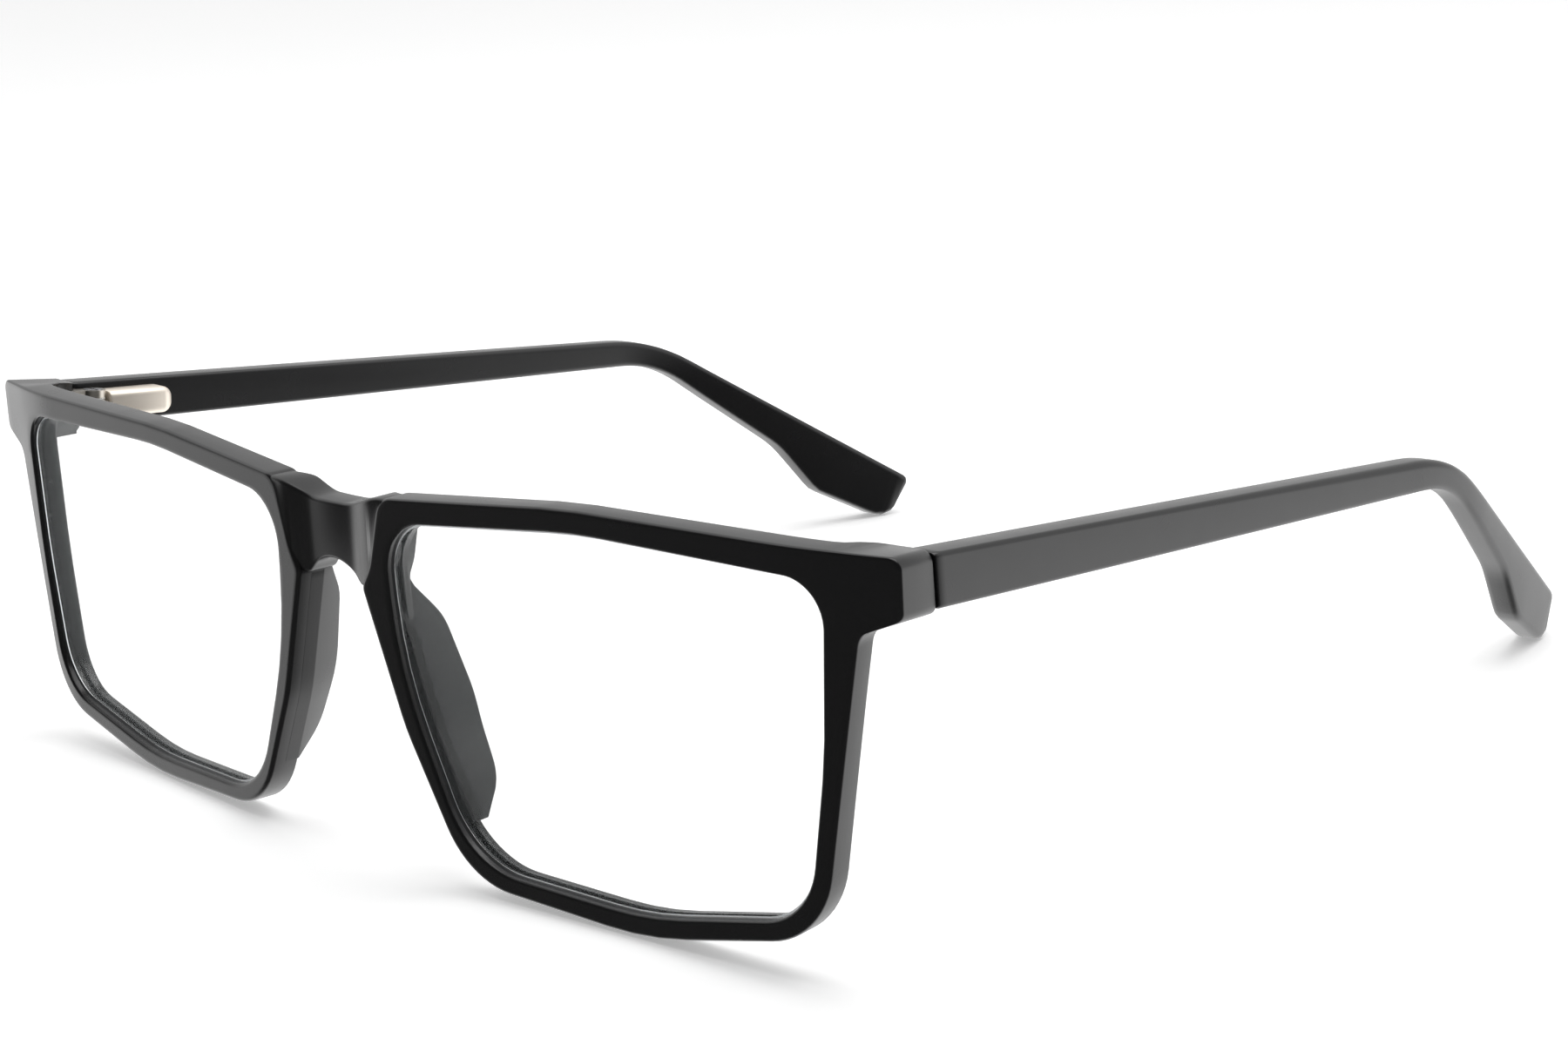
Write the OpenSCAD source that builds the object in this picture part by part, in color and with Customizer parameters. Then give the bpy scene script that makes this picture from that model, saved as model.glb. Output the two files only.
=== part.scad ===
// Full-rim rectangular eyeglasses frame with spring-hinged temples.
// X runs to the wearer's left, Y to the back, Z up. The frame stands on its rims and temple tips.
// Lengths are millimetres and angles are degrees.

/* [Front] */
// half of the width over the end pieces
front_half_width = 71.1; // [60:0.1:80]
// thickness of the rims
rim_thickness = 3.2; // [2.5:0.1:5]
// angle that each rim is turned back from straight across
wrap_angle = 5.2; // [0:0.1:12]
// how far forward the two rim planes meet ahead of the hinge pins
rim_reach = 15.5; // [10:0.1:25]
// further angle that the end pieces bend back
end_bend_angle = 9; // [0:0.5:20]
// distance from the middle where the end bend starts
bend_start = 57; // [50:0.5:65]
// radius of the end bend
bend_radius = 57; // [30:1:90]
// height of the front's top edge above the ground
front_top = 40.7; // [38:0.1:46]
// height of the end piece's lower edge
end_piece_bottom = 35.1; // [33:0.1:36]
// how far the end piece falls for each millimetre back
end_piece_droop = 0.12; // [0:0.01:0.2]

/* [Bridge and nose] */
// height of the bridge's top edge
bridge_top = 37.2; // [36:0.1:39]
// set-back of the bridge's front behind the rims
bridge_recess = 0.8; // [0:0.1:2]
// depth of the bridge from front to back
bridge_depth = 3.4; // [2:0.1:4]
// radius of the arch under the bridge
arch_radius = 5.0; // [3:0.1:8]
// height of the arch's centre
arch_height = 26.4; // [20:0.1:35]
// how far the nose pads stand out behind the rims
pad_depth = 4.4; // [3:0.1:6]
// lean of the nose pads from upright
pad_lean = 21; // [10:1:35]

/* [Lenses] */
// thickness of a lens
lens_thickness = 1.7; // [1:0.1:3]
// depth of a lens front behind the rim front
lens_set_in = 0.9; // [0.3:0.1:1.5]
// height of the lens edge ridge
ridge_height = 0.5; // [0.3:0.05:1]
// width of the lens edge ridge
ridge_width = 0.6; // [0.4:0.05:1]

/* [Temples] */
// thickness of a temple
temple_thickness = 3.4; // [2.5:0.1:5]
// slope of the temples down towards the tips
temple_drop = 5.4; // [0:0.1:12]
// angle that the temples close towards each other
toe_in = 3.2; // [-3:0.1:6]
// extra inward angle of the tips
tip_turn = 12.5; // [0:0.5:25]
// pin to the start of the tip's inward bend
tip_turn_start = 80; // [60:1:100]
// radius of the tip's inward bend
tip_turn_radius = 75; // [30:1:120]
// lean of the cut between end piece and temple
mitre_lean = 8.4; // [0:0.1:15]

/* [Hinges] */
// distance of the hinge pins from the middle
pin_x = 64.3; // [55:0.1:72]
// height of the hinge pins
pin_z = 36.9; // [25:0.1:45]
// radius of the hinge knuckles
knuckle_radius = 1.45; // [1:0.05:2]
// radius of the screw in the knuckles
screw_radius = 0.7; // [0.5:0.05:1]
// radius of the sliding shaft
shaft_radius = 0.55; // [0.4:0.05:0.8]
// number of coils in a spring
spring_turns = 9; // [5:1:14]
// radius of the spring wire
wire_radius = 0.1; // [0.06:0.01:0.15]

/* [Hidden] */
$fn = 48;
// running clearance in a bore, gap between parts of different bodies, fit of a sunk part
run_fit = 0.05;
body_gap = 0.08;
sunk_fit = 0.02;
// largest turn between points on a rounded corner
arc_step = 12;
// height that every upright cut and slab covers
tall = 60;
// the row's origin is midway between the front's foremost point and the temple tips
pin_y = -54.35;
rim_y0 = pin_y - rim_reach;
// hinge frame: the temple starts at the mitre, ahead of the pin
mitre = -1.9;
temple_in = knuckle_radius + 0.25;
temple_out = temple_in + temple_thickness;
temple_half_height = 2.54;
// knuckle stack heights either side of the pin's middle
slider_half = 0.68;
washer_in = slider_half + 0.04;
washer_out = washer_in + 0.18;
knuckle_in = washer_out + 0.04;
knuckle_out = 1.8;
hinge_half_width = 1.3;
// the hinge's foot, sideways from the pin and back from the mitre
foot_inner = -0.6;
foot_outer = 1.6;
foot_sunk = 2.2;
foot_proud = 0.4;
// spring housing along the temple
housing_front = 1.6;
housing_rear = 10.2;
housing_half = 1.55;
housing_wall = 0.8;
housing_inner = -1.35;
housing_foot = 1.2;
chamber_radius = 0.95;
coil_radius = 0.74;
retainer_length = 0.6;
retainer_end = housing_rear - housing_wall - 0.1;
spring_front = housing_front + housing_wall + 0.02;
spring_rear = retainer_end - retainer_length - 0.02;

// outlines in a rim's own plane: across, up, corner radius
rim_outline = [
  [8.4, front_top - 2.0, 3.0],
  [6.4, 31.6, 0],
  [5.1, 29.4, 2.2],
  [9.7, 15.5, 0],
  [17.1, 1.1, 9.8],
  [40.6, 0, 0],
  [62.2, 4.5, 9.0],
  [66.9, 33.3, 2.2],
  [72, end_piece_bottom, 0.8],
  [72, front_top, 0.8],
  [66, front_top - 0.05, 0],
  [32.6, front_top - 0.05, 0]
];
opening_outline = [
  [8.7, 36.3, 5.5],
  [9.45, 21.5, 0],
  [17.5, 2.75, 10.4],
  [40.5, 2.15, 0],
  [60.5, 6.05, 7.6],
  [62.8, 21.5, 0],
  [63.6, 37.8, 4.3],
  [34.1, 38.45, 0]
];
bridge_outline = [
  [-9.2, bridge_top + 1.6, 0],
  [-5.0, bridge_top + 0.1, 4],
  [0, bridge_top - 0.1, 0],
  [5.0, bridge_top + 0.1, 4],
  [9.2, bridge_top + 1.6, 0],
  [8.2, 34, 0],
  [6.8, 29.3, 0],
  [-6.8, 29.3, 0],
  [-8.2, 34, 0]
];
end_block_outline = [
  [61.9, 35.3, 0],
  [66.0, 35.3, 0],
  [67.5, 33.9, 0],
  [72, 34.4, 0],
  [72, front_top + 1, 0],
  [61.9, front_top + 1, 0]
];
// nose pad seen from the side: up, back from the rim
pad_side = [
  [29.1, 0, 0],
  [29.0, 0.9, 0],
  [24.6, pad_depth - 0.6, 3],
  [18, pad_depth, 9],
  [10, pad_depth - 0.5, 4],
  [6.2, 0, 0]
];
// nose pad in section: across, back from the rim
pad_section = [
  [0, 0, 0],
  [3.1, 0, 0],
  [3.6, pad_depth + 1, 0],
  [3.2, pad_depth + 1, 0]
];
// temple seen from the side: along, up
temple_side = [
  [mitre + body_gap - temple_half_height * tan(mitre_lean), temple_half_height, 0],
  [86.0, 1.5, 28],
  [127.2, -20.4, 1.4],
  [123.1, -26.06, 2.4],
  [112.4, -21.3, 4],
  [106.3, -14.6, 14],
  [86.5, -1.75, 19],
  [mitre + body_gap + temple_half_height * tan(mitre_lean), -temple_half_height, 0]
];
wire_side = [
  [13, 0.6, 0],
  [84.2, 0.6, 9],
  [113.3, -15.0, 0.5],
  [112.7, -16.1, 0.5],
  [83.9, -0.6, 9],
  [13, -0.6, 0]
];

function unit(v) = v / norm(v);
function flat(p) = [p[0], p[1]];
// points of one rounded corner between its neighbours
function corner(a, p, b, r) =
  r == 0 ? [p] :
  let (u = unit(a - p), w = unit(b - p), half = acos(u * w) / 2)
  let (mid = p + unit(u + w) * (r / sin(half)))
  let (s = p + u * (r / tan(half)), e = p + w * (r / tan(half)))
  let (from = atan2(s[1] - mid[1], s[0] - mid[0]))
  let (to = atan2(e[1] - mid[1], e[0] - mid[0]))
  let (turn = (to - from + 540) % 360 - 180)
  let (n = ceil(abs(turn) / arc_step))
  [for (i = [0:n]) mid + r * [cos(from + turn * i / n), sin(from + turn * i / n)]];
function rounded(v) =
  let (n = len(v))
  [for (i = [0:n - 1]) each corner(flat(v[(i + n - 1) % n]), flat(v[i]), flat(v[(i + 1) % n]), v[i][2])];
// a closed outline moved outwards by g; its points run anticlockwise seen from the back
function normal(a, b) = unit([b[1] - a[1], a[0] - b[0]]);
function grown(v, g) =
  let (n = len(v))
  [for (i = [0:n - 1])
    let (p = flat(v[i]), m = normal(flat(v[(i + n - 1) % n]), p), k = normal(p, flat(v[(i + 1) % n])))
    let (q = p + (m + k) * (g / (1 + m * k)))
    [q[0], q[1], v[i][2] == 0 ? 0 : v[i][2] + g]];
// a rim's plan at a depth behind its front face: straight, bend, straight
function rim_plan(depth) = concat(
  [[1, depth]],
  [for (i = [0:4])
    let (a = end_bend_angle * i / 4)
    [bend_start + (bend_radius - depth) * sin(a), bend_radius - (bend_radius - depth) * cos(a)]],
  [[front_half_width + 0.3, 1.53] + depth * [-sin(end_bend_angle), cos(end_bend_angle)]]
);
function turned_back(v) = [for (i = [len(v) - 1:-1:0]) v[i]];
// a temple's plan at a distance from the pin
function temple_plan(x) = concat(
  [[x, -10]],
  [for (i = [0:5])
    let (a = tip_turn * i / 5, r = tip_turn_radius + x - temple_in)
    [temple_in - tip_turn_radius + r * cos(a), tip_turn_start + r * sin(a)]],
  [[temple_in - tip_turn_radius, tip_turn_start]
    + (tip_turn_radius + x - temple_in) * [cos(tip_turn), sin(tip_turn)]
    + 60 * [-sin(tip_turn), cos(tip_turn)]]
);

// an upright outline made solid between two depths
module upright(points, from, to) {
  rotate([90, 0, 0])
    translate([0, 0, -to])
      linear_extrude(to - from)
        polygon(points);
}

// an outline seen from the side made solid between two distances across
module sideways(points, from, to) {
  rotate([90, 0, 90])
    translate([0, 0, from])
      linear_extrude(to - from)
        polygon(points);
}

module in_rim_plane() {
  translate([0, rim_y0, 0])
    rotate([0, 0, wrap_angle])
      children();
}

module at_hinge() {
  translate([pin_x, pin_y, pin_z])
    rotate([-temple_drop, 0, toe_in])
      children();
}

// everything behind the mitre cut, in the hinge frame
module behind_mitre() {
  rotate([mitre_lean, 0, 0])
    translate([-20, mitre, -8])
      cube([40, 20, 16]);
}

module along_temple(radius, from, to) {
  translate([0, from, 0])
    rotate([-90, 0, 0])
      cylinder(r = radius, h = to - from);
}

module upright_pin(radius, from, to) {
  translate([0, 0, from])
    cylinder(r = radius, h = to - from);
}

module on_both_sides() {
  children();
  mirror([1, 0, 0])
    children();
}

// ---- front ----

module rim_half() {
  difference() {
    intersection() {
      upright(rounded(rim_outline), -1, 12);
      linear_extrude(tall)
        polygon(concat(rim_plan(0), turned_back(rim_plan(rim_thickness))));
    }
    upright(rounded(opening_outline), -2, 13);
    lens_groove();
  }
}

module lens_groove() {
  middle = lens_set_in + lens_thickness / 2;
  upright(rounded(grown(opening_outline, ridge_height + 0.1)),
    middle - ridge_width / 2 - body_gap, middle + ridge_width / 2 + body_gap);
}

// thick part of the end piece that carries the hinge and meets the temple
module end_block() {
  difference() {
    intersection() {
      drooping()
        intersection() {
          upright(rounded(end_block_outline), 1.6, 12);
          upright(rounded(rim_outline_solid()), 0, 12);
        }
      linear_extrude(tall)
        polygon([
          [62.9, 3.0],
          [64.5, 1.6],
          [70.2, 1.6],
          [front_half_width + 0.3, 1.53] + 1.2 * [-sin(end_bend_angle), cos(end_bend_angle)],
          [front_half_width + 0.3, 1.53] + 10 * [-sin(end_bend_angle), cos(end_bend_angle)],
          [65.5, 11]
        ]);
    }
    upright(rounded(grown(opening_outline, 0.7)), -2, rim_thickness + 0.3);
  }
}

// lowers what lies further back, to meet the sloping temple
module drooping() {
  multmatrix([
    [1, 0, 0, 0],
    [0, 1, 0, 0],
    [0, -end_piece_droop, 1, 0],
    [0, 0, 0, 1]
  ])
    children();
}

// the rim outline with its corner carried in over the opening, to bound the end block
function rim_outline_solid() = [
  [50, 33.6, 0],
  [66.7, 33.6, 0],
  [72, end_piece_bottom, 0.8],
  [72, front_top, 0.8],
  [50, front_top - 0.05, 0]
];

module front_half() {
  difference() {
    in_rim_plane()
      union() {
        rim_half();
        end_block();
      }
    at_hinge() {
      behind_mitre();
      hinge_foot(sunk_fit);
    }
  }
}

module bridge() {
  front_y = rim_y0 + 7 * sin(wrap_angle) + bridge_recess;
  difference() {
    translate([0, front_y, 0])
      upright(rounded(bridge_outline), 0, bridge_depth);
    translate([0, 0, arch_height])
      rotate([90, 0, 0])
        translate([0, 0, -rim_y0 - 20])
          cylinder(r = arch_radius, h = 40);
  }
}

module front() {
  color([0.03, 0.03, 0.035])
    union() {
      on_both_sides()
        front_half();
      bridge();
    }
}

// ---- lens ----

module lens() {
  middle = lens_set_in + lens_thickness / 2;
  color([0.85, 0.9, 0.92, 0.35])
    in_rim_plane()
      union() {
        upright(rounded(grown(opening_outline, -body_gap)), lens_set_in, lens_set_in + lens_thickness);
        upright(rounded(grown(opening_outline, ridge_height)),
          middle - ridge_width / 2, middle + ridge_width / 2);
      }
}

// ---- nose pad ----

module nose_pad() {
  color([0.03, 0.03, 0.035])
    in_rim_plane()
      translate([0, rim_thickness, 0])
        intersection() {
          sideways([for (p = rounded(pad_side)) [p[1], p[0]]], 0, 25);
          translate([5.1, 0, 29.2])
            rotate([0, 180 - pad_lean, 0])
              mirror([1, 0, 0])
                linear_extrude(30)
                  polygon(rounded(pad_section));
        }
}

// ---- hinge ----

module hinge_foot(grow) {
  translate([foot_inner - grow, mitre - foot_sunk - grow, -knuckle_out - grow])
    cube([foot_outer - foot_inner + 2 * grow, foot_sunk + foot_proud + grow, 2 * (knuckle_out + grow)]);
}

// two knuckles on a plate whose foot is sunk in the end piece
module front_hinge() {
  color([0.72, 0.66, 0.56])
    at_hinge()
      difference() {
        union() {
          hinge_foot(0);
          for (side = [-1, 1])
            translate([0, 0, side * (knuckle_in + knuckle_out) / 2])
              front_knuckle(knuckle_out - knuckle_in);
        }
        upright_pin(screw_radius + run_fit, -knuckle_out - 1, knuckle_out + 1);
        // seat for the screw's head
        upright_pin(screw_head_radius() + run_fit, knuckle_out - 0.55, knuckle_out + 1);
        // slot between the knuckles for the slider and its washers
        translate([-hinge_half_width - 1, -knuckle_radius - 0.15, -knuckle_in])
          cube([2 * hinge_half_width + 2, 5, 2 * knuckle_in]);
      }
}

function screw_head_radius() = screw_radius + 0.35;

module front_knuckle(height) {
  cylinder(r = knuckle_radius, h = height, center = true);
  translate([foot_inner, mitre, -height / 2])
    cube([hinge_half_width - foot_inner, -mitre, height]);
}

module hinge_washers() {
  color([0.9, 0.9, 0.86])
    at_hinge()
      difference() {
        union() {
          upright_pin(knuckle_radius - 0.1, washer_in, washer_out);
          upright_pin(knuckle_radius - 0.1, -washer_out, -washer_in);
        }
        upright_pin(screw_radius + run_fit, -2, 2);
      }
}

module hinge_screw() {
  color([0.75, 0.75, 0.76])
    at_hinge()
      difference() {
        union() {
          upright_pin(screw_radius, -knuckle_out + 0.05, knuckle_out);
          upright_pin(screw_head_radius(), knuckle_out - 0.5, knuckle_out + 0.05);
        }
        translate([-2, -0.14, knuckle_out - 0.2])
          cube([4, 0.28, 1]);
      }
}

// single knuckle, neck and shaft in one piece
module hinge_slider() {
  color([0.72, 0.66, 0.56])
    at_hinge()
      difference() {
        union() {
          upright_pin(knuckle_radius, -slider_half, slider_half);
          along_temple(shaft_radius, 0.9, retainer_end);
          translate([-shaft_radius, 0.8, -shaft_radius])
            cube([2 * shaft_radius, housing_front - 0.9, 2 * shaft_radius]);
        }
        upright_pin(screw_radius + run_fit, -2, 2);
      }
}

module spring_retainer() {
  color([0.72, 0.66, 0.56])
    at_hinge()
      difference() {
        along_temple(chamber_radius - 0.1, retainer_end - retainer_length, retainer_end);
        along_temple(shaft_radius, retainer_end - 2, retainer_end + 1);
      }
}

// ring of points round the wire at one place along the coil
coil_steps = 14;
wire_sides = 6;
function coil_angle(i) = 360 * i / coil_steps;
function coil_place(i) =
  let (n = spring_turns * coil_steps)
  let (length = spring_rear - spring_front - 2 * wire_radius)
  [coil_radius * cos(coil_angle(i)), spring_front + wire_radius + length * i / n, coil_radius * sin(coil_angle(i))];
function wire_ring(i) =
  let (out = [cos(coil_angle(i)), 0, sin(coil_angle(i))])
  [for (k = [0:wire_sides - 1])
    coil_place(i) + wire_radius * (out * cos(360 * k / wire_sides) + [0, 1, 0] * sin(360 * k / wire_sides))];

module spring() {
  rings = spring_turns * coil_steps;
  color([0.78, 0.78, 0.8])
    at_hinge()
      polyhedron(
        points = [for (i = [0:rings]) each wire_ring(i)],
        faces = concat(
          [[for (k = [0:wire_sides - 1]) k]],
          [for (i = [0:rings - 1], k = [0:wire_sides - 1])
            let (a = i * wire_sides + k, b = i * wire_sides + (k + 1) % wire_sides)
            [a, a + wire_sides, b + wire_sides]],
          [for (i = [0:rings - 1], k = [0:wire_sides - 1])
            let (a = i * wire_sides + k, b = i * wire_sides + (k + 1) % wire_sides)
            [a, b + wire_sides, b]],
          [[for (k = [wire_sides - 1:-1:0]) rings * wire_sides + k]]
        ),
        convexity = 10
      );
}

// rounded box on the temple's inner side
module spring_housing() {
  color([0.84, 0.76, 0.66])
    at_hinge()
      difference() {
        union() {
          intersection() {
            translate([housing_inner, housing_front, -housing_half])
              cube([temple_in - housing_inner, housing_rear - housing_front, 2 * housing_half]);
            housing_rounding();
          }
          housing_tongue(0);
        }
        along_temple(shaft_radius + run_fit, 0, housing_front + 2);
        along_temple(chamber_radius, housing_front + housing_wall, housing_rear - housing_wall);
      }
}

// round rear end seen from the side
module housing_rounding() {
  sideways(rounded([
    [housing_front, -housing_half, 0.2],
    [housing_rear, -housing_half, 1.2],
    [housing_rear, housing_half, 1.2],
    [housing_front, housing_half, 0.2]
  ]), -3, 4);
}

module housing_tongue(grow) {
  translate([temple_in - 0.1, housing_front + 1.2 - grow, -0.9 - grow])
    cube([housing_foot + 0.1 + grow, housing_rear - housing_front - 2.2 + 2 * grow, 1.8 + 2 * grow]);
}

// ---- temple ----

module temple_strip(from, to) {
  translate([0, 0, -tall])
    linear_extrude(2 * tall)
      polygon(concat(temple_plan(from), turned_back(temple_plan(to))));
}

module wire_solid(grow) {
  intersection() {
    sideways(rounded(wire_side), -30, 20);
    temple_strip(temple_in + 1.5 - grow, temple_in + 2.3 + grow);
  }
}

module temple() {
  color([0.03, 0.03, 0.035])
    at_hinge()
      difference() {
        intersection() {
          sideways(rounded(temple_side), -30, 20);
          temple_strip(temple_in, temple_out);
        }
        housing_tongue(sunk_fit);
        wire_solid(0);
      }
}

module core_wire() {
  color([0.6, 0.6, 0.62])
    at_hinge()
      wire_solid(0);
}

module mirrored() {
  mirror([1, 0, 0])
    children();
}

front();
lens();  // lens_left
mirrored() lens();  // lens_right
nose_pad();  // nose_pad_left
mirrored() nose_pad();  // nose_pad_right
front_hinge();  // front_hinge_left
mirrored() front_hinge();  // front_hinge_right
hinge_washers();  // hinge_washers_left
mirrored() hinge_washers();  // hinge_washers_right
hinge_screw();  // hinge_screw_left
mirrored() hinge_screw();  // hinge_screw_right
hinge_slider();  // hinge_slider_left
mirrored() hinge_slider();  // hinge_slider_right
spring();  // spring_left
mirrored() spring();  // spring_right
spring_retainer();  // spring_retainer_left
mirrored() spring_retainer();  // spring_retainer_right
spring_housing();  // spring_housing_left
mirrored() spring_housing();  // spring_housing_right
temple();  // temple_left
mirrored() temple();  // temple_right
core_wire();  // core_wire_left
mirrored() core_wire();  // core_wire_right
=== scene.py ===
"""Black acetate eyeglasses on a white ground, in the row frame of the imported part.

Lengths are millimetres until a mesh is made, and angles are degrees.
X runs to the wearer's left, Y to the temple tips and Z up.
"""
import bmesh
import bpy
from math import acos, asin, atan2, ceil, cos, pi, radians, sin, sqrt, tan
from mathutils import Matrix, Vector


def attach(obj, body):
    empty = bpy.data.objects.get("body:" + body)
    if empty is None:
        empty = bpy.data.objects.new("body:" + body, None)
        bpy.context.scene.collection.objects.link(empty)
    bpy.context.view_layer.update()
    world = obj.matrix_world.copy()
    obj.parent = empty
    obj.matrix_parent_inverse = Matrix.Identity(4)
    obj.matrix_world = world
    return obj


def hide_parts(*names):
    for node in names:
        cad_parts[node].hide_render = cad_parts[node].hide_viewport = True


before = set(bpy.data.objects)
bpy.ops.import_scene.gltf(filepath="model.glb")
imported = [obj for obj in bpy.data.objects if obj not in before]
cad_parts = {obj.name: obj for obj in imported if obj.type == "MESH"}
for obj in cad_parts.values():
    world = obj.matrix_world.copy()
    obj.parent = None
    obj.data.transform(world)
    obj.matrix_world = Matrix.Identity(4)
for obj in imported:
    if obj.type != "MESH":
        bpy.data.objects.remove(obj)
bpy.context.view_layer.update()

MM = 0.001
SIDES = {"left": 1, "right": -1}

# ---- dimensions of the frame, in mm ----
WRAP = radians(5.2)
DROP = radians(5.4)
TOE_IN = radians(3.2)
MITRE_LEAN = radians(8.4)
PIN = Vector((64.3, -54.35, 36.9))
MITRE = -1.9
RIM_Y = PIN.y - 15.5
RIM_THICK = 3.2
BEND_START = 57.0
BEND_RADIUS = 57.0
BEND_ANGLE = radians(9.0)
RIM_TOP = 40.65
# where across the rim the thick block of the end piece begins and is complete
BLOCK_START = (63.6, 67.2)
# height of the block's underside at its outer end
BLOCK_LOW = 33.5
END_DROOP = 0.12
LENS_FRONT = 0.9
LENS_BACK = 2.6
LENS_CHAMFER = 0.22
LENS_GAP = 0.06
GROOVE_MIDDLE = (LENS_FRONT + LENS_BACK) / 2
GROOVE_DEPTH = 0.55
RIDGE_HEIGHT = 0.5
TEMPLE_IN = 1.7
TEMPLE_OUT = 5.1
TIP_TURN = radians(12.5)
TIP_TURN_START = 80.0
TIP_TURN_RADIUS = 75.0
TEMPLE_HALF = 2.54
TEMPLE_GAP = 0.08
HOUSING_FRONT = 1.6
HOUSING_REAR = 10.2
HOUSING_HALF = 1.55
HOUSING_INNER = -1.35
HOUSING_END = 1.5
BRIDGE_HALF = 11.2
BRIDGE_TOP = 37.3
ARCH_RADIUS = 5.2
ARCH_HEIGHT = 26.2
PAD_TOP = 36.2
PAD_BOTTOM = 6.8

# radii of a rim's edges: front outer, front inner, back outer, back inner
FRONT_EDGE = 0.42
OPENING_EDGE = 0.3
BACK_EDGE = 0.3
LIP_EDGE = 0.4

# outlines across and up in a rim's own plane: (x, z, corner radius)
RIM_OUTLINE = [
    (8.4, 38.75, 2.2),
    (6.4, 31.6, 6.0),
    (5.1, 29.4, 1.2),
    (9.7, 15.5, 20.0),
    (17.1, 1.1, 9.8),
    (40.6, 0.0, 40.0),
    (62.0, 4.5, 9.0),
    (66.9, 33.3, 2.2),
    (71.3, 35.1, 1.0),
    (71.3, RIM_TOP, 1.2),
    (66.0, RIM_TOP, 0),
    (32.6, RIM_TOP, 60.0),
]
OPENING = [
    (8.7, 36.3, 5.5),
    (9.45, 21.5, 40.0),
    (17.5, 2.75, 10.4),
    (40.5, 2.15, 40.0),
    (60.5, 6.05, 7.6),
    (62.8, 21.5, 40.0),
    (63.6, 37.8, 4.3),
    (34.1, 38.45, 60.0),
]
# temple seen from the side: (along, up) with corner radius
TEMPLE_TOP = [(86.0, 1.5, 28.0), (127.06, -20.4, 0)]
TEMPLE_BOTTOM = [
    (86.5, -1.75, 19.0),
    (106.3, -14.6, 14.0),
    (112.4, -21.3, 4.0),
    (123.1, -26.0, 2.4),
    (124.4, -24.2, 0),
]
# rounding of the temple's two ends: (distance from the end, inset)
TEMPLE_START = [(0.0, 0.25), (0.07, 0.07), (0.25, 0.0)]
TEMPLE_TIP = [(1.2, 0.0), (0.8, 0.07), (0.45, 0.26), (0.2, 0.56), (0.05, 0.85), (0.0, 1.0)]
# nose pad seen from the side: (behind the rim, up) with corner radius
PAD_SIDE = [
    (0.8, 35.7, 0.3),
    (0.95, 29.6, 4.0),
    (3.5, 25.4, 5.0),
    (4.35, 17.6, 14.0),
    (3.3, 9.6, 5.0),
]


# ---- outline helpers ----

def unit(v):
    return v / v.length


def corner(a, p, b, r, step=radians(6)):
    """Points of the rounded corner at p between its neighbours a and b."""
    if r <= 0:
        return [p]
    to_a, to_b = unit(a - p), unit(b - p)
    half = acos(max(-1.0, min(1.0, to_a.dot(to_b)))) / 2
    middle = p + unit(to_a + to_b) * (r / sin(half))
    start = p + to_a * (r / tan(half)) - middle
    finish = p + to_b * (r / tan(half)) - middle
    a0 = atan2(start.y, start.x)
    turn = (atan2(finish.y, finish.x) - a0 + 3 * pi) % (2 * pi) - pi
    n = max(1, ceil(abs(turn) / step))
    angles = [a0 + turn * i / n for i in range(n + 1)]
    return [middle + r * Vector((cos(a), sin(a))) for a in angles]


def rounded(outline):
    pts = [Vector(v[:2]) for v in outline]
    n = len(pts)
    out = []
    for i in range(n):
        out += corner(pts[i - 1], pts[i], pts[(i + 1) % n], outline[i][2])
    return out


def rounded_line(outline, before, after):
    """An open rounded line that starts at before and finishes at after."""
    pts = [Vector(before)] + [Vector(v[:2]) for v in outline] + [Vector(after)]
    out = [pts[0]]
    for i, v in enumerate(outline, start=1):
        out += corner(pts[i - 1], pts[i], pts[i + 1], v[2], radians(4))
    return out + [pts[-1]]


def grown(points, g):
    """A closed anticlockwise or clockwise outline moved outwards by g at each point."""
    n = len(points)
    area = sum(points[i - 1].cross(points[i]) for i in range(n))
    sign = 1 if area > 0 else -1
    out = []
    for i in range(n):
        a, p, b = points[i - 1], points[i], points[(i + 1) % n]
        m = sign * Vector(((p - a).y, -(p - a).x)).normalized()
        k = sign * Vector(((b - p).y, -(b - p).x)).normalized()
        out.append(p + (m + k) * (g / (1 + m.dot(k))))
    return out


def divided(points, longest):
    """The same closed line with no step longer than longest."""
    out = []
    for i, a in enumerate(points):
        b = points[(i + 1) % len(points)]
        steps = max(1, ceil((b - a).length / longest))
        out += [a.lerp(b, j / steps) for j in range(steps)]
    return out


def ray_hit(centre, through, loop):
    """Where the ray from centre past through crosses the loop."""
    d = through - centre
    for i in range(len(loop)):
        a, b = loop[i - 1], loop[i]
        e = b - a
        k = d.cross(e)
        if abs(k) < 1e-12:
            continue
        t = (a - centre).cross(e) / k
        s = (a - centre).cross(d) / k
        if t > 0 and -1e-9 <= s <= 1 + 1e-9:
            return centre + d * t
    raise ValueError("the loop isn't closed round its centre")


def smooth(x, low, high):
    t = max(0.0, min(1.0, (x - low) / (high - low)))
    return t * t * (3 - 2 * t)


def along(points, n):
    """n + 1 points at even steps along an open line."""
    steps = [(b - a).length for a, b in zip(points, points[1:])]
    total = sum(steps)
    out, i, done = [], 0, 0.0
    for j in range(n + 1):
        want = total * j / n
        while i < len(steps) - 1 and done + steps[i] < want:
            done += steps[i]
            i += 1
        share = min(1.0, (want - done) / steps[i]) if steps[i] else 0
        out.append(points[i].lerp(points[i + 1], share))
    return out


def before_end(line, left):
    """The point that has a given length of an open line left after it."""
    for i in range(len(line) - 1, 0, -1):
        step = (line[i] - line[i - 1]).length
        if left <= step:
            return line[i].lerp(line[i - 1], left / step)
        left -= step
    return line[0]


# ---- placing ----

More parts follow.
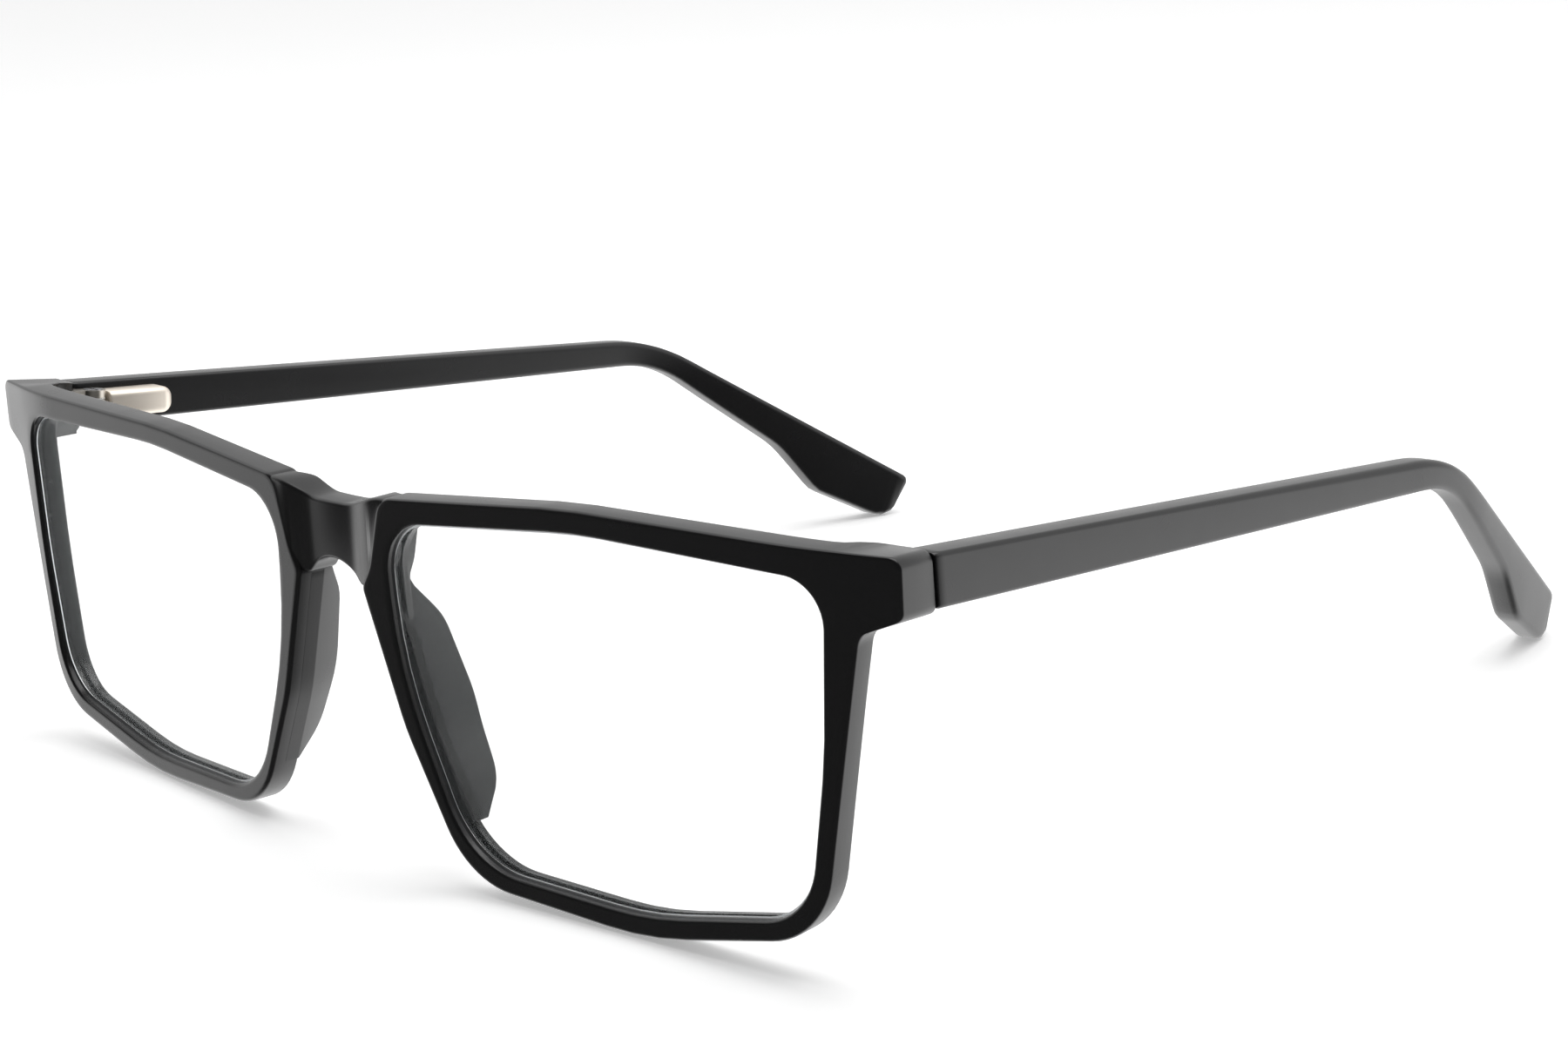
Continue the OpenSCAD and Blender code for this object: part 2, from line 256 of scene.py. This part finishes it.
HINGE = Matrix.Translation(PIN) @ Matrix.Rotation(TOE_IN, 4, "Z") @ Matrix.Rotation(-DROP, 4, "X")
MITRE_NORMAL = Vector((0, cos(MITRE_LEAN), sin(MITRE_LEAN)))


def rim_point(u, w, z):
    """A point in the flat plane of a rim: across, behind its front face, up."""
    return Vector((u * cos(WRAP) - w * sin(WRAP), RIM_Y + u * sin(WRAP) + w * cos(WRAP), z))


def bend_at(u):
    """Front face's set-back and direction at a place across the rim."""
    a = asin(max(0.0, min(1.0, (u - BEND_START) / BEND_RADIUS)))
    a = min(a, BEND_ANGLE)
    set_back = BEND_RADIUS * (1 - cos(a))
    end = BEND_START + BEND_RADIUS * sin(BEND_ANGLE)
    return set_back + max(0.0, u - end) * tan(BEND_ANGLE), a


def bent_point(u, w, z):
    """The same, with the end piece bent back and drooping; w is square to the bent face."""
    set_back, a = bend_at(u)
    droop = END_DROOP * w * smooth(u, *BLOCK_START) * smooth(z, BLOCK_LOW, BLOCK_LOW + 1)
    return rim_point(u - w * sin(a), set_back + w * cos(a), z - droop)


def to_mitre(u, z):
    """Depth of the mitre cut behind the front face."""
    back = HINGE.inverted()
    near = MITRE_NORMAL.dot(back @ bent_point(u, 0, z))
    far = MITRE_NORMAL.dot(back @ bent_point(u, 10, z))
    return 10 * (MITRE - near) / (far - near)


def rim_depth(u, z):
    """Thickness of the front, which grows into the end piece's block; its underside rises inwards."""
    low = BLOCK_LOW + 1.4 * (1 - smooth(u, 65.5, 67.5))
    share = smooth(u, *BLOCK_START) * smooth(z, low, low + 1)
    return RIM_THICK + (to_mitre(u, z) - RIM_THICK) * share


# ---- meshes ----

def mesh_object(name, verts, faces, side=1, sharp=40):
    mesh = bpy.data.meshes.new(name)
    mesh.from_pydata([(v.x * side * MM, v.y * MM, v.z * MM) for v in verts], [], faces)
    mesh.validate()
    if side < 0:
        mesh.flip_normals()
    mesh.shade_smooth()
    mesh.set_sharp_from_angle(angle=radians(sharp))
    obj = bpy.data.objects.new(name, mesh)
    bpy.context.collection.objects.link(obj)
    return obj


def ring_faces(rings, size, closed=False):
    """Quads between rings that each hold size points in a loop."""
    faces = []
    for i in range(rings if closed else rings - 1):
        a, b = i * size, (i + 1) % rings * size
        for j in range(size):
            k = (j + 1) % size
            faces.append((a + j, a + k, b + k, b + j))
    return faces


def loft(name, rings, side=1, sharp=40):
    """A closed solid through rings of equal size, with flat ends."""
    size = len(rings[0])
    verts = [v for ring in rings for v in ring]
    faces = ring_faces(len(rings), size)
    faces.append(tuple(reversed(range(size))))
    faces.append(tuple(range(len(verts) - size, len(verts))))
    obj = mesh_object(name, verts, faces, side, sharp)
    fix_normals(obj)
    return obj


def fix_normals(obj):
    bm = bmesh.new()
    bm.from_mesh(obj.data)
    bmesh.ops.recalc_face_normals(bm, faces=bm.faces)
    bm.to_mesh(obj.data)
    bm.free()


def quarter(r, n=5):
    """(inwards, down) steps of a quarter round edge, from the side wall to the face."""
    return [(r * (1 - cos(pi / 2 * i / n)), r * (1 - sin(pi / 2 * i / n))) for i in range(n + 1)]


def rim_section(outer, opening, across):
    """Points round a rim's section at one station. outer and opening are its two edge points."""
    inwards = (opening - outer).normalized()
    # the groove follows the flat lens, so it leans a little where the front is bent
    lean = 0.2 * bend_at(opening.x)[0]

    def edge(start, direction, steps, to_depth):
        places = [(start + direction * inset, down) for inset, down in steps]
        return [bent_point(p.x, to_depth(p, down), p.y) for p, down in places]

    def flat(start, finish, to_depth):
        places = [start.lerp(finish, i / across) for i in range(1, across)]
        return [bent_point(p.x, to_depth(p, 0), p.y) for p in places]

    def front_face(p, down):
        return down

    def back_face(p, down):
        return rim_depth(p.x, p.y) - down

    def back_at(station):
        thick = rim_depth(station.x, station.y)
        return lambda p, down: thick - down

    ring = edge(outer, inwards, quarter(FRONT_EDGE), front_face)
    ring += flat(outer + inwards * FRONT_EDGE, opening - inwards * OPENING_EDGE, front_face)
    ring += edge(opening, -inwards, reversed(quarter(OPENING_EDGE, 4)), front_face)
    groove = opening - inwards * GROOVE_DEPTH
    for p, depth in ((opening, 1.3), (groove, 1.5), (groove, 2.0), (opening, 2.2)):
        ring.append(rim_point(p.x + lean * depth, depth, p.y))
    ring += edge(opening, -inwards, quarter(LIP_EDGE, 4), back_at(opening))
    ring += flat(opening - inwards * LIP_EDGE, outer + inwards * BACK_EDGE, back_face)
    ring += edge(outer, inwards, reversed(quarter(BACK_EDGE, 3)), back_at(outer))
    return ring


def rim(side_name):
    side = SIDES[side_name]
    centre = Vector((36, 26))
    outer = divided(rounded(RIM_OUTLINE), 1.0)
    opening = divided(rounded(OPENING), 0.6)
    rings = [rim_section(p, ray_hit(centre, p, opening), 7) for p in outer]
    size = len(rings[0])
    verts = [v for ring in rings for v in ring]
    obj = mesh_object("rim_" + side_name, verts, ring_faces(len(rings), size, closed=True), side)
    fix_normals(obj)
    return obj


def bridge():
    """The set-back piece between the rims, with the nose arch under it."""
    edge_radius, n = 0.4, 72
    # the arch is a circle that runs on straight beyond this distance from the middle
    arch_reach = 4.2
    rings = []
    for i in range(n + 1):
        x = BRIDGE_HALF * (2 * i / n - 1)
        across = abs(x)
        top = BRIDGE_TOP + 1.4 * smooth(across, 2.0, 8.5)
        arch = ARCH_HEIGHT + sqrt(ARCH_RADIUS ** 2 - min(across, arch_reach) ** 2)
        low = arch + 5.6 * smooth(across, 6.6, 9.2) + 3.0 * smooth(across, 9.0, BRIDGE_HALF)
        sweep = (sqrt(across ** 2 + 9.0) - 0.5) * sin(WRAP)
        start = RIM_Y + sweep + 0.8 - 0.76 * smooth(across, 3.0, 7.4)
        finish = RIM_Y + sweep + RIM_THICK + 1.0 - 1.1 * smooth(across, 6.0, 8.6)
        ring = []
        corners = [(start, top, 1, -1), (finish, top, -1, -1), (finish, low, -1, 1), (start, low, 1, 1)]
        for y, z, dy, dz in corners:
            arc = [Vector((x, y + dy * step, z + dz * down)) for step, down in quarter(edge_radius, 4)]
            if dy == dz:
                arc.reverse()
            ring += arc
        rings.append(ring)
    return loft("bridge_piece", rings)


def joined(name, parts):
    """One solid made of several that overlap."""
    base = parts[0]
    for other in parts[1:]:
        union = base.modifiers.new("union", "BOOLEAN")
        union.operation = "UNION"
        union.solver = "EXACT"
        union.object = other
        graph = bpy.context.evaluated_depsgraph_get()
        mesh = bpy.data.meshes.new_from_object(base.evaluated_get(graph))
        base.modifiers.clear()
        base.data = mesh
        bpy.data.objects.remove(other)
    base.data.shade_smooth()
    base.data.set_sharp_from_angle(angle=radians(38))
    base.name = name
    base.data.name = name
    return base


def front():
    obj = joined("front_acetate", [rim("left"), rim("right"), bridge()])
    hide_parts("front")
    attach(obj, "front")
    return obj


def lens(side_name, glass, frost_and_painted_glow):
    """Flat clear lens with a frosted front chamfer that also glows faintly as a painted highlight, and
    a ridge that sits in the rim's groove.
    """
    body = divided(grown(rounded(OPENING), -LENS_GAP), 2.5)
    small, ridge = grown(body, -LENS_CHAMFER), grown(body, RIDGE_HEIGHT)
    face = LENS_BACK - GROOVE_MIDDLE
    half = [(ridge, 0.15), (body, 0.3), (body, face - LENS_CHAMFER), (small, face)]
    edge = [(loop, GROOVE_MIDDLE - w) for loop, w in reversed(half)]
    edge += [(loop, GROOVE_MIDDLE + w) for loop, w in half]
    rings = [[rim_point(p.x, w, p.y) for p in loop] for loop, w in edge]
    obj = loft("lens_shape_" + side_name, rings, SIDES[side_name], 30)
    obj.data.materials.append(glass)
    obj.data.materials.append(frost_and_painted_glow)
    for i, face in enumerate(obj.data.polygons):
        face.material_index = 1 if i < len(body) else 0
    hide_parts("lens_" + side_name)
    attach(obj, "front")
    return obj


def pad_depth(z):
    """How far the nose pad stands out behind the rim at a height."""
    line = rounded_line(PAD_SIDE, (0, PAD_TOP), (0, PAD_BOTTOM))
    for a, b in zip(line, line[1:]):
        if b.y <= z <= a.y:
            return a.x + (b.x - a.x) * (a.y - z) / max(1e-6, a.y - b.y)
    return 0.0


def nose_pad(side_name):
    """Solid pad whose nose side runs on from the nasal bar's edge; it starts inside the rim."""
    nasal = rounded(RIM_OUTLINE)
    rings = []
    n, end_gap = 40, 0.03
    for i in range(n + 1):
        z = PAD_TOP - end_gap - (PAD_TOP - PAD_BOTTOM - 2 * end_gap) * i / n
        edge = ray_hit(Vector((36, z)), Vector((35, z)), nasal).x
        d = max(0.05, pad_depth(z))
        wide = 2.3 + 0.8 * (1 - smooth(z, 26.0, 31.0))
        left, right = 0.6 * d, wide + 0.1 * d
        r = min(0.45, d * 0.25)
        foot = [(-0.02, -1.6, 0), (wide, -1.6, 0)]
        section = rounded_section(foot + [(right, d, r), (left, d, r), (-0.02, -0.1, 0.3)])
        rings.append([rim_point(edge + p.x, RIM_THICK + p.y, z) for p in section])
    obj = loft("nose_pad_shape_" + side_name, rings, SIDES[side_name], 50)
    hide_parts("nose_pad_" + side_name)
    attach(obj, "front")
    return obj


def rounded_section(outline):
    """As rounded, with the same number of points in every corner."""
    pts = [Vector(v[:2]) for v in outline]
    out = []
    for i, v in enumerate(outline):
        a, p, b = pts[i - 1], pts[i], pts[(i + 1) % len(pts)]
        if v[2] <= 0:
            out.append(p)
            continue
        arc = corner(a, p, b, v[2], radians(5))
        out += along(arc, 5)
    return out


def across_at(y, x):
    """Distance from the pin of the temple's face x, where it turns in at the tip."""
    r = TIP_TURN_RADIUS + x - TEMPLE_IN
    if y <= TIP_TURN_START:
        return x
    a = asin(min(1.0, (y - TIP_TURN_START) / r))
    if a <= TIP_TURN:
        return x - r * (1 - cos(a))
    end = TIP_TURN_START + r * sin(TIP_TURN)
    return x - r * (1 - cos(TIP_TURN)) - (y - end) * tan(TIP_TURN)


def temple(side_name):
    """Arm that drops behind the ear, lofted between its top and bottom lines."""
    lean = TEMPLE_HALF * tan(MITRE_LEAN)
    front = MITRE + TEMPLE_GAP
    top_line = rounded_line(TEMPLE_TOP[:-1], (front - lean, TEMPLE_HALF), TEMPLE_TOP[-1][:2])
    low_line = rounded_line(TEMPLE_BOTTOM[:-1], (front + lean, -TEMPLE_HALF), TEMPLE_BOTTOM[-1][:2])
    n = 110
    top, low = along(top_line, n), along(low_line, n)
    rings = []
    for move, inset in TEMPLE_START:
        shift = Vector((move, 0))
        rings.append(temple_ring(top[0] + shift, low[0] + shift, inset, 0.0))
    rings += [temple_ring(top[i], low[i], 0.0, smooth(i / n, 0.1, 0.9)) for i in range(1, n - 1)]
    for left, inset in TEMPLE_TIP:
        rings.append(temple_ring(before_end(top_line, left), before_end(low_line, left), inset, 1.0))
    obj = loft("temple_shape_" + side_name, rings, SIDES[side_name], 40)
    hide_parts("temple_" + side_name)
    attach(obj, "arm_" + side_name)
    return obj


def temple_ring(top, low, inset, soft):
    """Rounded section between a top and a bottom point; soft is 0 at the hinge and 1 at the tip."""
    height = (top - low).length
    r_out, r_in = 0.5 + 0.6 * soft, 0.45 + 0.4 * soft
    out, back = TEMPLE_OUT - inset, TEMPLE_IN + inset
    upper = height - inset
    outline = [(back, inset, r_in), (out, inset, r_in), (out, upper, r_out), (back, upper, r_in)]
    ring = []
    for p in rounded_section(outline):
        q = low.lerp(top, p.y / height)
        ring.append(HINGE @ Vector((across_at(q.x, p.x), q.x, q.y)))
    return ring


def housing(side_name):
    """Rounded metal box on the inner face of a temple, round at its rear end."""
    edge_radius, foot, n = 0.8, TEMPLE_IN + 0.3, 8
    turns = [pi / 2 * i / n for i in range(n + 1)]
    start = [(HOUSING_FRONT + move, inset) for move, inset in ((0.0, 0.3), (0.09, 0.09), (0.3, 0.0))]
    end = [(HOUSING_REAR + HOUSING_END * (sin(a) - 1), HOUSING_END * (1 - cos(a))) for a in turns]
    rings = []
    for y, inset in start + end:
        inset = min(inset, 1.2)
        tall = HOUSING_HALF - inset
        face = HOUSING_INNER + inset
        r = min(edge_radius, tall * 0.6)
        outline = [(face, -tall, r), (foot, -tall, 0), (foot, tall, 0), (face, tall, r)]
        rings.append([HINGE @ Vector((p.x, y, p.y)) for p in rounded_section(outline)])
    obj = loft("housing_shape_" + side_name, rings, SIDES[side_name], 35)
    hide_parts("spring_housing_" + side_name)
    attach(obj, "arm_" + side_name)
    return obj


# ---- materials ----

def material(name):
    m = bpy.data.materials.new(name)
    m.use_nodes = True
    nodes = m.node_tree.nodes
    shader = nodes["Principled BSDF"]
    return m, nodes, m.node_tree.links, shader


def noise(nodes, links, scale, detail=4.0, stretch=(1, 1, 1)):
    """Noise over the piece's own coordinates; returns its value socket."""
    place = nodes.new("ShaderNodeTexCoord")
    size = nodes.new("ShaderNodeMapping")
    size.inputs["Scale"].default_value = stretch
    tex = nodes.new("ShaderNodeTexNoise")
    tex.inputs["Scale"].default_value = scale
    tex.inputs["Detail"].default_value = detail
    links.new(place.outputs["Object"], size.inputs["Vector"])
    links.new(size.outputs["Vector"], tex.inputs["Vector"])
    return tex.outputs["Fac"]


def ranged(nodes, links, value, low, high):
    r = nodes.new("ShaderNodeMapRange")
    r.inputs["To Min"].default_value = low
    r.inputs["To Max"].default_value = high
    links.new(value, r.inputs["Value"])
    return r.outputs["Result"]


def bumped(nodes, links, shader, value, strength, distance):
    b = nodes.new("ShaderNodeBump")
    b.inputs["Strength"].default_value = strength
    b.inputs["Distance"].default_value = distance
    links.new(value, b.inputs["Height"])
    links.new(b.outputs["Normal"], shader.inputs["Normal"])


def tinted(nodes, links, shader, value, dark, light):
    mix = nodes.new("ShaderNodeMix")
    mix.data_type = "RGBA"
    mix.inputs["A"].default_value = (*dark, 1)
    mix.inputs["B"].default_value = (*light, 1)
    links.new(value, mix.inputs["Factor"])
    links.new(mix.outputs["Result"], shader.inputs["Base Color"])


def acetate():
    """Polished black acetate with a faint cloud and a trace of tumbling marks."""
    m, nodes, links, shader = material("black_acetate")
    cloud = noise(nodes, links, 90, 3)
    tinted(nodes, links, shader, cloud, (0.003, 0.003, 0.0035), (0.006, 0.006, 0.0065))
    links.new(ranged(nodes, links, noise(nodes, links, 250, 2), 0.22, 0.3), shader.inputs["Roughness"])
    bumped(nodes, links, shader, noise(nodes, links, 300, 1), 0.03, 0.0001)
    shader.inputs["IOR"].default_value = 1.48
    return m


def metal(name, dark, light, rough, grain, metallic=1.0):
    """Metal with fine grain drawn out along one direction."""
    m, nodes, links, shader = material(name)
    lines = noise(nodes, links, 900, 4, grain)
    tinted(nodes, links, shader, lines, dark, light)
    links.new(ranged(nodes, links, lines, rough, rough + 0.14), shader.inputs["Roughness"])
    bumped(nodes, links, shader, lines, 0.1, 0.00005)
    shader.inputs["Metallic"].default_value = metallic
    return m


def plain_plastic(name, dark, light):
    m, nodes, links, shader = material(name)
    speck = noise(nodes, links, 800, 3)
    tinted(nodes, links, shader, speck, dark, light)
    links.new(ranged(nodes, links, speck, 0.4, 0.55), shader.inputs["Roughness"])
    return m


def clear_lens():
    """Thin clear lens: nearly all see-through; at a slant the alpha lets its near-white base colour
    show, a painted reflection added to the real gloss.
    """
    m, nodes, links, shader = material("coated_lens_painted_reflection")
    # near-white base colour, seen only where the alpha lets it through: painted reflection
    tinted(nodes, links, shader, noise(nodes, links, 60, 3), (0.86, 0.92, 0.93), (0.92, 0.96, 0.96))
    links.new(ranged(nodes, links, noise(nodes, links, 60, 5), 0.02, 0.06), shader.inputs["Roughness"])
    # facing mask: painted reflection, the lens turns more opaque and near-white towards grazing angles
    slant = nodes.new("ShaderNodeLayerWeight")
    slant.inputs["Blend"].default_value = 0.12
    links.new(ranged(nodes, links, slant.outputs["Facing"], 0.015, 0.3), shader.inputs["Alpha"])
    return m


def ground_edge_painted_glow():
    """The lens's bevelled rim, ground to a fine white frosting; a faint emission adds a painted glow so
    the edge reads as a bright line.
    """
    m, nodes, links, shader = material("ground_lens_edge_painted_glow")
    grind = noise(nodes, links, 2500, 2, (1, 1, 6))
    tinted(nodes, links, shader, grind, (0.9, 0.92, 0.93), (0.99, 1.0, 1.0))
    links.new(ranged(nodes, links, grind, 0.35, 0.6), shader.inputs["Roughness"])
    # emission: painted glow on the ground edge, which is no lamp
    shader.inputs["Emission Color"].default_value = (0.95, 0.98, 1, 1)
    shader.inputs["Emission Strength"].default_value = 0.25
    return m


def finish_with(obj, mat):
    """Gives a piece its one material."""
    obj.data.materials.clear()
    obj.data.materials.append(mat)


# ---- stage ----

def floor():
    """White ground, 5 m square."""
    mesh = bpy.data.meshes.new("floor")
    half = 2.5
    corners = [(-half, -half, 0), (half, -half, 0), (half, half, 0), (-half, half, 0)]
    mesh.from_pydata(corners, [], [(0, 1, 2, 3)])
    obj = bpy.data.objects.new("floor", mesh)
    bpy.context.collection.objects.link(obj)
    m, nodes, links, shader = material("white_ground")
    tinted(nodes, links, shader, noise(nodes, links, 40, 3), (0.93, 0.93, 0.93), (0.95, 0.95, 0.95))
    shader.inputs["Roughness"].default_value = 0.6
    shader.inputs["Specular IOR Level"].default_value = 0.1
    shader.inputs["Emission Color"].default_value = (1, 1, 1, 1)
    shader.inputs["Emission Strength"].default_value = 0.35
    mesh.materials.append(m)
    # the pieces don't mirror the ground
    obj.visible_glossy = False
    return obj


def area_light(name, place, target, size, power):
    data = bpy.data.lights.new(name, "AREA")
    data.shape = "RECTANGLE"
    data.size, data.size_y = size
    data.energy = power
    obj = bpy.data.objects.new(name, data)
    obj.location = place
    obj.rotation_mode = "QUATERNION"
    obj.rotation_quaternion = (Vector(target) - Vector(place)).to_track_quat("-Z", "Y")
    bpy.context.collection.objects.link(obj)
    return obj


def stepped(nodes, links, value, low, high, start, finish):
    """Smooth change from one value to another as an input goes from low to high."""
    r = nodes.new("ShaderNodeMapRange")
    r.interpolation_type = "SMOOTHSTEP"
    for name, number in (("From Min", low), ("From Max", high), ("To Min", start), ("To Max", finish)):
        r.inputs[name].default_value = number
    links.new(value, r.inputs["Value"])
    return r.outputs["Result"]


def studio():
    """White room behind and to the left, dark where the camera stands, with a softbox overhead."""
    world = bpy.data.worlds.new("white_room")
    world.use_nodes = True
    nodes, links = world.node_tree.nodes, world.node_tree.links
    place = nodes.new("ShaderNodeTexCoord")
    parts = nodes.new("ShaderNodeSeparateXYZ")
    links.new(place.outputs["Generated"], parts.inputs["Vector"])
    side = nodes.new("ShaderNodeVectorMath")
    side.operation = "DOT_PRODUCT"
    side.inputs[1].default_value = (-0.5, 0.87, 0)
    links.new(place.outputs["Generated"], side.inputs[0])
    bright = stepped(nodes, links, side.outputs["Value"], -0.15, 0.3, 0.08, 1.0)
    level = stepped(nodes, links, parts.outputs["Z"], -0.1, 0.1, 1.9, 1.25)
    dimmer = stepped(nodes, links, side.outputs["Value"], 0.4, 0.85, 1.0, 0.6)
    for factor in (bright, dimmer):
        product = nodes.new("ShaderNodeMath")
        product.operation = "MULTIPLY"
        links.new(level, product.inputs[0])
        links.new(factor, product.inputs[1])
        level = product.outputs["Value"]
    links.new(level, nodes["Background"].inputs["Strength"])
    nodes["Background"].inputs["Color"].default_value = (1, 1, 1, 1)
    bpy.context.scene.world = world
    area_light("overhead", (0.1, 0.1, 0.8), (0, 0, 0), (0.7, 0.7), 3.4)
    bpy.context.scene.view_settings.view_transform = "Standard"


def camera():
    """A long lens from the wearer's left, a little above, slightly rolled."""
    azimuth, elevation, roll = radians(45.6138), radians(14.1872), radians(-2.9018)
    distance = 0.33357
    target = Vector((0.01232, -0.01797, 0.02597))
    back = Vector((sin(azimuth) * cos(elevation), -cos(azimuth) * cos(elevation), sin(elevation)))
    right = Vector((cos(azimuth), sin(azimuth), 0))
    up = back.cross(right)
    x = right * cos(roll) + up * sin(roll)
    y = up * cos(roll) - right * sin(roll)
    data = bpy.data.cameras.new("camera")
    data.lens = 70.87
    data.sensor_width = 36.0
    data.clip_start = 0.01
    obj = bpy.data.objects.new("camera", data)
    turn = Matrix((x, y, back)).transposed().to_4x4()
    obj.matrix_world = Matrix.Translation(target + back * distance) @ turn
    bpy.context.collection.objects.link(obj)
    bpy.context.scene.camera = obj


# ---- scene ----

black = acetate()
nickel = metal("nickel_silver", (0.42, 0.39, 0.35), (0.62, 0.58, 0.52), 0.24, (1, 1, 8))
champagne = metal("champagne_plating", (0.9, 0.81, 0.7), (0.98, 0.91, 0.82), 0.38, (1, 0.15, 1), 0.75)
steel = metal("bright_steel", (0.5, 0.5, 0.51), (0.7, 0.7, 0.72), 0.2, (8, 8, 1))
wire_metal = metal("wire_metal", (0.45, 0.44, 0.42), (0.6, 0.59, 0.57), 0.3, (1, 0.1, 1))
nylon = plain_plastic("nylon", (0.72, 0.71, 0.67), (0.82, 0.81, 0.78))
glass = clear_lens()
# the ground edge's material is white frosting plus a painted glow on the lens rims
frost_and_painted_glow = ground_edge_painted_glow()
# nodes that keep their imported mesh
CARRIED = {
    "front_hinge": nickel,
    "hinge_slider": nickel,
    "spring_retainer": nickel,
    "hinge_washers": nylon,
    "hinge_screw": steel,
    "spring": steel,
    "core_wire": wire_metal,
}

finish_with(front(), black)
for side_name in SIDES:
    lens(side_name, glass, frost_and_painted_glow)
    finish_with(nose_pad(side_name), black)
    finish_with(temple(side_name), black)
    finish_with(housing(side_name), champagne)
    for node, mat in CARRIED.items():
        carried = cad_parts[node + "_" + side_name]
        carried.data.materials.clear()
        carried.data.materials.append(mat)

floor()
studio()
camera()
